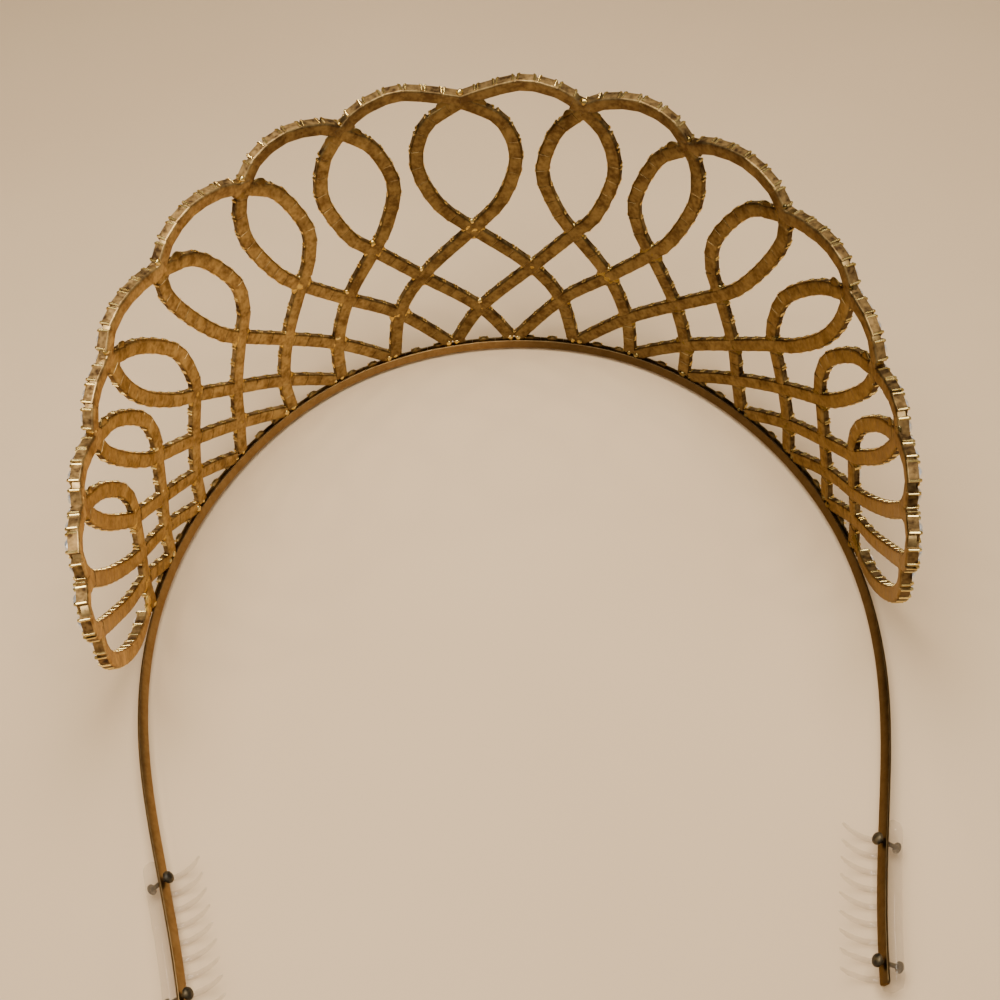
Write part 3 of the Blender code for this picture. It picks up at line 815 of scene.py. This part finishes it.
def round_cup_tree(finish, claw_finish):
    """A round cup with four claws and the link that ties it to the next."""
    tree, entry, size = new_tree("round cups", ROUND_CUP)
    rounding = sum(step[0] for step in ROUND_BACK) * MM
    block = tree.node("GeometryNodeMeshCylinder", {"fill_type": 'NGON'}, {
        "Vertices": 16, "Radius": size["Radius"], "Depth": size["Wall"]}, "Mesh")
    block = moved(tree, block, z=size["Wall"] * 0.5 + rounding)
    cup = shell(tree, block, ROUND_BACK, size["Wall"])
    ring = tree.node("GeometryNodeMeshCircle", {}, {"Vertices": 4, "Radius": size["Radius"] * 0.9})
    claw = tree.node("GeometryNodeTransform", {}, {
        "Geometry": claws(tree, ring, size, CLAW_LEANS["round"], rounding),
        "Rotation": (0.0, 0.0, math.radians(45))})
    tie = tree.node("GeometryNodeMeshCube", {}, {
        "Size": vector(tree, size["Tie Length"], size["Tie Width"], TIE_THICKNESS)}, "Mesh")
    tie = moved(tree, tie, y=TIE_PLACE[0], z=TIE_PLACE[1])
    whole = tree.node("GeometryNodeJoinGeometry", {}, {"Geometry": [
        plated(tree, cup, finish), plated(tree, claw, claw_finish), plated(tree, tie, finish)]})
    return close_tree(tree, placed_on_points(tree, entry, whole), "cups")


def stone_tree(finish):
    """Brilliant-cut stone: an eight-sided table, stars, kites and a girdle."""
    tree, entry, size = new_tree("stones", LOOP_STONE)
    rings = []
    for sides, share, level, turn in STONE_RINGS:
        ring = tree.node("GeometryNodeMeshCircle", {}, {"Vertices": sides, "Radius": size["Radius"] * share})
        rings.append(tree.node("GeometryNodeTransform", {}, {
            "Geometry": ring, "Translation": vector(tree, 0.0, 0.0, size["Height"] * level),
            "Rotation": (0.0, 0.0, math.radians(turn))}))
    hull = tree.node("GeometryNodeConvexHull", {}, {
        "Geometry": tree.node("GeometryNodeJoinGeometry", {}, {"Geometry": rings})})
    stone = plated(tree, moved(tree, hull, z=size["Seat"]), finish)
    return close_tree(tree, placed_on_points(tree, entry, stone), "stones")


def solder_tree(finish, radius, smallest, largest, flatness, unevenness):
    """Flattened beads of solder of uneven size."""
    tree, entry, size = new_tree("solder", {
        "Radius": radius, "Smallest": smallest, "Largest": largest, "Flatness": flatness,
        "Unevenness": unevenness})
    bead = tree.node("GeometryNodeMeshIcoSphere", {}, {"Radius": size["Radius"], "Subdivisions": 3}, "Mesh")
    bead = tree.node("GeometryNodeTransform", {}, {
        "Geometry": bead, "Scale": vector(tree, 1.0, 1.0, size["Flatness"])})
    grown_beads = placed_on_points(tree, entry, bead)
    random = random_number(tree, size["Smallest"], size["Largest"], 7)
    sized = tree.node("GeometryNodeScaleInstances", {}, {
        "Instances": grown_beads, "Scale": vector(tree, random, random, random)})
    spin = random_number(tree, 0.0, 6.28, 3)
    turned = tree.node("GeometryNodeRotateInstances", {}, {
        "Instances": sized, "Rotation": vector(tree, 0.0, 0.0, spin)})
    real = tree.node("GeometryNodeRealizeInstances", {}, {"Geometry": turned})
    place = tree.node("GeometryNodeInputPosition")
    wobble = noise(tree, place, 900.0, 1.0).other("Color")
    shift = tree.node("ShaderNodeVectorMath", {"operation": 'SUBTRACT'}, {0: wobble, 1: (0.5, 0.5, 0.5)})
    uneven = tree.node("GeometryNodeSetPosition", {}, {
        "Geometry": real, "Offset": scaled(tree, shift, size["Unevenness"])})
    return close_tree(tree, plated(tree, uneven, finish), "solder")


def tooth_tree(finish):
    """Round teeth swept along their curves, as thick as the curves' radius says."""
    tree, entry, size = new_tree("comb teeth", {"Roundness": 1.0})
    outline = tree.node("GeometryNodeCurvePrimitiveCircle", {}, {
        "Resolution": 10, "Radius": size["Roundness"]}, "Curve")
    thick = tree.node("GeometryNodeInputRadius")
    body = tree.node("GeometryNodeCurveToMesh", {}, {
        "Curve": entry, "Profile Curve": outline, "Scale": thick, "Fill Caps": True})
    return close_tree(tree, plated(tree, body, finish), "teeth")


def bridge_sections(sections):
    """Closed body through a list of sections, each a ring of points."""
    shape = bmesh.new()
    rings = [[shape.verts.new(point) for point in section] for section in sections]
    for low, high in zip(rings, rings[1:]):
        for index in range(len(low)):
            following = (index + 1) % len(low)
            shape.faces.new((low[index], low[following], high[following], high[index]))
    shape.faces.new(reversed(rings[0]))
    shape.faces.new(rings[-1])
    bmesh.ops.recalc_face_normals(shape, faces=shape.faces)
    return shape


def solid(name, shapes, finish, kind):
    """One smooth-shaded piece from one or more closed shapes."""
    whole = bmesh.new()
    for shape in shapes:
        mesh = bpy.data.meshes.new("shape")
        shape.to_mesh(mesh)
        shape.free()
        whole.from_mesh(mesh)
        bpy.data.meshes.remove(mesh)
    mesh = bpy.data.meshes.new(name)
    whole.to_mesh(mesh)
    whole.free()
    mesh.materials.append(finish)
    made = link_object(name, mesh)
    mesh.shade_smooth()
    mesh.set_sharp_from_angle(angle=math.radians(SHARP_PAST[kind]))
    return made


def rounded_outline(low, high, back, front, corner):
    """Ring of (v, out) points round a rectangle with rounded corners."""
    top, bottom = high - corner, low + corner
    outer, inner = front - corner, back + corner
    ring = []
    for quarter, (v, out) in enumerate(((top, outer), (top, inner), (bottom, inner), (bottom, outer))):
        for step in range(CORNER_STEPS + 1):
            angle = math.radians(90 * (quarter + step / CORNER_STEPS))
            ring.append((v + corner * math.sin(angle), out + corner * math.cos(angle)))
    return ring


def make_band(finish):
    """Flat wire with eased edges and slightly rounded ends."""
    half, thick = BAND_WIDTH / 2, BAND_THICKNESS / 2
    stations = list(np.linspace(-BAND_END, BAND_END, round(2 * BAND_END / BAND_STEP)))
    for distance, _ in BAND_EASING[1:]:
        stations += [-BAND_END + distance, BAND_END - distance]
    sections = []
    for s in sorted(stations):
        cut = interpolate(BAND_EASING, 1, BAND_END - abs(s))
        outline = rounded_outline(-half + cut, half - cut, -thick, thick, BAND_CORNER)
        sections.append([strip_point(s, v, out) for v, out in outline])
    return solid("band_wire", [bridge_sections(sections)], finish, "band")


def make_comb_spine(name, side, middle, finish):
    """Clear spine of a comb."""
    back = BAND_THICKNESS / 2 + GAP
    count = round(COMB_LENGTH / COMB_STEP)
    sections = []
    for index in range(count + 1):
        s = middle + COMB_LENGTH * (index / count - 0.5)
        room = min(index, count - index)
        cut = COMB_END_CUTS[min(room, len(COMB_END_CUTS) - 1)]
        outline = rounded_outline(
            COMB_BOTTOM + cut, COMB_TOP - cut, back, back + COMB_THICKNESS, COMB_CORNER)
        sections.append([strip_point(side * s, v, out) for v, out in outline])
    return solid(name, [bridge_sections(sections)], finish, "spines")


def make_comb_teeth(name, side, middle, tree):
    """Teeth of a comb, swept by Geometry Nodes along one curve each."""
    curve = bpy.data.curves.new(name, 'CURVE')
    curve.dimensions = '3D'
    guides = [Vector((out, v, thickness)) for out, v, thickness in TOOTH_PATH]
    path = smooth_path(guides, TOOTH_STEP)
    tip, slope = path[-1].copy(), (path[-1] - path[-2]).normalized()
    for degrees in TOOTH_TIP_ANGLES:
        angle = math.radians(degrees)
        path.append(Vector((*(tip + slope * (tip.z / 2 * math.sin(angle))).xy, tip.z * math.cos(angle))))
    row = COMB_LENGTH - 2 * TOOTH_EDGE
    for index in range(TOOTH_COUNT):
        s = middle + row * (index / (TOOTH_COUNT - 1) - 0.5)
        spline = curve.splines.new('POLY')
        spline.points.add(len(path) - 1)
        for point, guide in zip(spline.points, path):
            point.co = (*strip_point(side * s, guide.y + TOOTH_LIFT, guide.x), 1.0)
            point.radius = guide.z / 2 * MM
    source = link_object(name + " lines", curve)
    teeth = grown(name, source, tree, {"Roundness": 1.0})
    bpy.data.objects.remove(source)
    return teeth


def pin_frame(s):
    """Placement of a pin: its axis runs out through the strip."""
    turn = outward_at(strip_point, s, 0.0).to_track_quat('Z', 'Y')
    return Matrix.Translation(strip_point(s, 0.0, 0.0)) @ turn.to_matrix().to_4x4()


def make_pins(finish):
    """Four dark pins: a domed button on the head's side and a flat end outside the comb."""
    face = BAND_THICKNESS / 2 + GAP
    button = -face - PIN_HEAD_DEPTH / 2
    disc = face + COMB_THICKNESS + GAP
    profile = []
    first, last, steps = PIN_DOME
    for step in range(steps + 1):
        angle = math.radians(first + (last - first) * step / steps)
        profile.append((
            PIN_HEAD_RADIUS * math.cos(angle), button + PIN_HEAD_DEPTH / 2 * math.sin(angle)))
    profile += [(PIN_RADIUS, button + PIN_HEAD_DEPTH / 2 * PIN_NECK_SHARE), (PIN_RADIUS, disc)]
    profile += [(PIN_DISC_RADIUS * wide, disc + PIN_DISC_THICKNESS * deep) for wide, deep in PIN_DISC_PROFILE]
    shapes = []
    for _, side, middle in COMB_MIDDLES:
        for shift in (-0.5, 0.5):
            place = pin_frame(side * (middle + shift * PIN_SPACING))
            shapes.append(bridge_sections([
                [place @ (Vector((radius * math.cos(2 * math.pi * turn / PIN_SIDES),
                                  radius * math.sin(2 * math.pi * turn / PIN_SIDES), height)) * MM)
                 for turn in range(PIN_SIDES)] for radius, height in profile]))
    return solid("pins", shapes, finish, "pins")


# Finishes
def new_finish(name):
    """A material, its tree and its main shader."""
    finish = bpy.data.materials.new(name)
    finish.use_nodes = True
    shader = finish.node_tree.nodes["Principled BSDF"]
    tree = Tree(finish.node_tree)
    place = tree.node("ShaderNodeTexCoord", output="Object")
    return finish, tree, shader, place


def feed(tree, shader, name, socket):
    tree.tree.links.new(socket.output, shader.inputs[name])


def noise(tree, place, scale, detail=2.0):
    return tree.node("ShaderNodeTexNoise", {}, {"Vector": place, "Scale": scale, "Detail": detail})


def ramp(tree, level, low_stop, low_colour, high_stop, high_colour):
    """Blend from one colour to another as a value passes from stop to stop."""
    stops = ((low_stop, (*low_colour, 1.0)), (high_stop, (*high_colour, 1.0)))
    return tree.node("ShaderNodeValToRGB", {"stops": stops}, {"Fac": level}, "Color")


def gold_finish(name, dark, light, roughness, ripple, painted_shade_key, toned, shading="plate"):
    """Warm plated metal with painted shade, darker towards the wearer's right, with uneven tone and a rippled
    surface.
    """
    finish, tree, shader, place = new_finish("plated " + name)
    patches = noise(tree, place, PATCH_SCALE, 3.0)
    grain = noise(tree, place, GRAIN_SCALE)
    tone = ramp(tree, patches * 0.6 + grain * 0.4, 0.38, dark, 0.62, light)
    x = tree.node("ShaderNodeSeparateXYZ", {}, {"Vector": place}, "X")
    # Painted shade: the base colour is scaled from dim on the wearer's right to bright on the left
    low, dim, high, bright = PAINTED_SHADE_LIMITS[painted_shade_key]
    shade = tree.node("ShaderNodeMapRange", {"interpolation_type": 'SMOOTHSTEP'}, {
        "Value": x, "From Min": low, "From Max": high, "To Min": dim, "To Max": bright})
    if toned:
        shade = shade * tree.node("ShaderNodeAttribute", {"attribute_name": "tone"}, {}, "Fac")
    feed(tree, shader, "Base Color", scaled(tree, tone, shade))
    smoothest, roughest = roughness
    feed(tree, shader, "Roughness", patches * (roughest - smoothest) + smoothest)
    bump = tree.node("ShaderNodeBump", {}, {
        "Strength": ripple, "Distance": RIPPLE_DEPTH, "Height": noise(tree, place, RIPPLE_SCALE)})
    feed(tree, shader, "Normal", bump)
    for label, value in zip(("Metallic", "Specular IOR Level", "Specular Tint"), SHADING[shading]):
        shader.inputs[label].default_value = value
    return finish


def stone_finish():
    """Clear crystal over a silvered back."""
    finish, tree, shader, place = new_finish("cut crystal")
    cells = noise(tree, place, 420.0, 0.0)
    feed(tree, shader, "Base Color", ramp(tree, cells, 0.35, (0.72, 0.78, 0.86), 0.65, (0.98, 0.98, 0.99)))
    feed(tree, shader, "Roughness", cells * 0.05 + 0.01)
    shader.inputs["Metallic"].default_value = 0.75
    shader.inputs["IOR"].default_value = 1.56
    shader.inputs["Coat Weight"].default_value = 0.8
    shader.inputs["Coat Roughness"].default_value = 0.02
    return finish


def clear_finish():
    """Clear moulded plastic with faint flow marks, thin enough to leave what is behind it in place."""
    finish, tree, shader, place = new_finish("clear plastic")
    flow = noise(tree, place, 260.0, 3.0)
    feed(tree, shader, "Base Color", ramp(tree, flow, 0.3, (0.34, 0.25, 0.16), 0.7, (0.48, 0.36, 0.24)))
    feed(tree, shader, "Roughness", flow * 0.12 + 0.03)
    feed(tree, shader, "Alpha", flow * 0.12 + 0.10)
    shader.inputs["IOR"].default_value = 1.49
    shader.inputs["Specular IOR Level"].default_value = 1.0
    shader.inputs["Coat Weight"].default_value = 1.0
    shader.inputs["Coat Roughness"].default_value = 0.04
    return finish


def pin_finish():
    """Dark lacquered metal, rubbed a little at random."""
    finish, tree, shader, place = new_finish("dark pin")
    rub = noise(tree, place, 900.0, 3.0)
    feed(tree, shader, "Base Color", ramp(tree, rub, 0.4, (0.022, 0.017, 0.010), 0.7, (0.11, 0.078, 0.035)))
    feed(tree, shader, "Roughness", rub * 0.25 + 0.34)
    shader.inputs["Metallic"].default_value = 0.65
    return finish


def floor_finish():
    finish, tree, shader, place = new_finish("pale floor")
    cloud = noise(tree, place, 9.0, 3.0)
    feed(tree, shader, "Base Color", ramp(tree, cloud, 0.3, (0.65, 0.472, 0.29), 0.7, (0.69, 0.506, 0.314)))
    shader.inputs["Roughness"].default_value = 0.85
    return finish


gold = {row[0]: gold_finish(*row) for row in GOLDS}
clear_plastic = clear_finish()

border_line = border_path()
towards = lattice_paths()
away = [mirrored(path) for path in towards]

border_blocks = [(p.x, p.y, BORDER_CLEARANCE - STRAND_CLEARANCE) for p in border_line[::2]]
towards_blocks = [(p.x, p.y, 0.0) for path in towards for p in path[::2]]
raised_border = [point + Vector((0.0, BORDER_RISE)) for point in border_line]
border_places = chain_places(raised_border, border_tilt)
loop_places = []
for family, blocks in ((towards, border_blocks), (away, border_blocks + towards_blocks)):
    for path in family:
        for run in free_stretches(path, blocks):
            loop_places += chain_places(run)

base_places = []
for number in range(BASE_COUNT):
    s = (number - (BASE_COUNT - 1) / 2) * BASE_PITCH
    back = BAND_THICKNESS / 2 + GAP / 2
    centre = strip_point(s, BASE_LEVEL, back)
    along = (strip_point(s + 0.5, 0.0, back) - strip_point(s - 0.5, 0.0, back)).normalized()
    base_places.append((centre, along, outward_at(strip_point, s, 0.0), 1.0))


def wall_place(s, h, kind):
    """A place for solder on the wall, upright and facing outward."""
    place = wall_point(s, h, CHAIN_BACK + SOLDER_OUT[kind])
    return place, Vector((0, 0, 1)), outward_at(wall_point, s, h), 1.0


bead_places, web_places, fillet_places = [], [], []
flat_towards = [p for path in towards for p in path]
for path in away:
    for point in crossing_places(path, flat_towards):
        if point.y > LOWEST_CROSSING:
            under_border = point.y > CROSSINGS[0.0][1] + WEB_RADIUS
            web = fillet_places if under_border else web_places
            web.append(wall_place(point.x, point.y, "webs"))
            bead_places.append(wall_place(point.x, point.y + BEAD_RISE, "beads"))
for path in towards + away:
    foot = above_feet(path)[-1]
    bead_places.append(wall_place(foot.x, foot.y - FOOT_BEAD_DROP, "feet"))
for top, *shoulders in LOOPS:
    for side in (-1, 1):
        for shoulder in shoulders:
            point = Vector(top).lerp(Vector(shoulder[0]), JUNCTION_SHARE)
            fillet_places.append(wall_place(side * point.x, point.y + JUNCTION_RISE, "fillets"))
lobe_places = [wall_place(side * s, h, "lobe") for side in (-1, 1) for s, h in LOBE_SOLDER]


def add_piece(piece, slot, *nodes):
    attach(piece, "root")
    if nodes:
        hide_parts(*nodes)


stones = stone_tree(stone_finish())
loop_points = point_cloud("loop points", loop_places)
border_points = point_cloud("border points", border_places)
base_points = point_cloud("base points", base_places)
loop_tree = square_cup_tree(gold["cups"], gold["sides"], gold["claws"])
border_tree = square_cup_tree(gold["border"], gold["sides"], gold["claws"])
add_piece(grown("loop_cups", loop_points, loop_tree, {}), "gold_plate", "loop_lattice", "centre_loop")
add_piece(grown("loop_stones", loop_points, stones, {}), "rhinestone")
add_piece(grown("border_cups", border_points, border_tree, BORDER_CUP), "gold_plate", "scallop_border")
add_piece(grown("border_stones", border_points, stones, BORDER_STONE), "rhinestone")
add_piece(grown("base_cups", base_points, round_cup_tree(gold["cups"], gold["claws"]), {}),
          "gold_plate", "base_chain")
add_piece(grown("base_stones", base_points, stones, BASE_STONE), "rhinestone")
for source in (loop_points, border_points, base_points):
    bpy.data.objects.remove(source)
for name, finish, places in (
        ("solder_beads", "solder", bead_places), ("solder_webs", "webs", web_places),
        ("solder_fillets", "fillets", fillet_places), ("lobe_solder", "webs", lobe_places)):
    points = point_cloud(name + " points", places)
    add_piece(grown(name, points, solder_tree(gold[finish], *SOLDER_SIZES[name]), {}), "gold_plate")
    bpy.data.objects.remove(points)

strips = [ribbon(above_feet(path), CHAIN_BACK, STRIP_HEIGHT) for path in towards]
strips += [ribbon(above_feet(path), CHAIN_BACK + FAMILY_OFFSET, STRIP_HEIGHT) for path in away]
add_piece(solid("loop_strips", strips, gold["strip"], "strips"), "gold_plate")
border_back = ribbon(raised_border, CHAIN_BACK, BORDER_STRIP_HEIGHT, border_tilt)
add_piece(solid("border_strip", [border_back], gold["border strip"], "strips"), "gold_plate")
add_piece(make_band(gold["wire"]), "gold_plate", "headband")
teeth_tree = tooth_tree(clear_plastic)
for word, side, middle in COMB_MIDDLES:
    spine = make_comb_spine("comb_spine_" + word, side, middle, clear_plastic)
    add_piece(spine, "clear_plastic", "comb_" + word)
    add_piece(make_comb_teeth("comb_teeth_" + word, side, middle, teeth_tree), "clear_plastic")
add_piece(make_pins(pin_finish()), "dark_pin", "pin_left_front", "pin_left_back", "pin_right_front",
          "pin_right_back")


# Floor, light and camera
def area_light(name, place, size, power, colour):
    light = bpy.data.lights.new(name, 'AREA')
    light.shape = 'DISK'
    light.size = size
    light.energy = power
    light.color = colour
    made = link_object(name, light)
    made.location = place
    made.rotation_euler = (Vector(LIGHT_TARGET) - Vector(place)).to_track_quat('-Z', 'Y').to_euler()


floor_mesh = bpy.data.meshes.new("floor")
floor_mesh.from_pydata(
    [(x * FLOOR_HALF, y * FLOOR_HALF, 0) for x, y in ((-1, -1), (1, -1), (1, 1), (-1, 1))],
    [], [(0, 1, 2, 3)])
floor_mesh.materials.append(floor_finish())
floor = link_object("floor", floor_mesh)

for row in LIGHTS:
    area_light(*row)


def make_world():
    """Soft room light, dimmer in front of the tiara and on its left."""
    world = bpy.data.worlds.new("room")
    bpy.context.scene.world = world
    world.use_nodes = True
    tree = Tree(world.node_tree)
    toward = tree.node("ShaderNodeTexCoord", output="Generated")
    split = tree.node("ShaderNodeSeparateXYZ", {}, {"Vector": toward}, "X")
    level = split * WORLD_SLOPE[0] + split.other("Y") * WORLD_SLOPE[1] + 0.5
    tone = tree.node("ShaderNodeValToRGB", {"stops": WORLD_STOPS}, {"Fac": level}, "Color")
    background = world.node_tree.nodes["Background"]
    feed(tree, background, "Color", tone)
    background.inputs["Strength"].default_value = WORLD_STRENGTH


make_world()


def place_camera():
    """Camera at the photograph's angle."""
    elevation, azimuth, roll = map(math.radians, CAMERA_ANGLES)
    forward = Vector((-math.sin(azimuth) * math.cos(elevation),
                      -math.cos(azimuth) * math.cos(elevation), -math.sin(elevation)))
    right = Vector((-math.cos(azimuth), math.sin(azimuth), 0))
    up = right.cross(forward)
    right, up = (right * math.cos(roll) + up * math.sin(roll), up * math.cos(roll) - right * math.sin(roll))
    place = Vector(CAMERA_TARGET) - forward * CAMERA_DISTANCE
    axes = Matrix((right, up, -forward)).transposed().to_4x4()
    turn = Matrix.Rotation(math.atan(CAMERA_RISE), 4, 'X')
    shift = Matrix.Translation(Vector((0, BAND_FRONT_Y, FRONT_CLEARANCE * MM)))
    data = bpy.data.cameras.new("camera")
    data.sensor_width = SENSOR
    data.lens = LENS * SENSOR / PHOTO_SIZE
    data.shift_x = -CAMERA_SHIFT[0] / PHOTO_SIZE
    data.shift_y = CAMERA_SHIFT[1] / PHOTO_SIZE
    data.clip_start = 0.01
    camera = link_object("camera", data)
    camera.matrix_world = shift @ turn @ Matrix.Translation(place * MM) @ axes
    bpy.context.scene.camera = camera


place_camera()
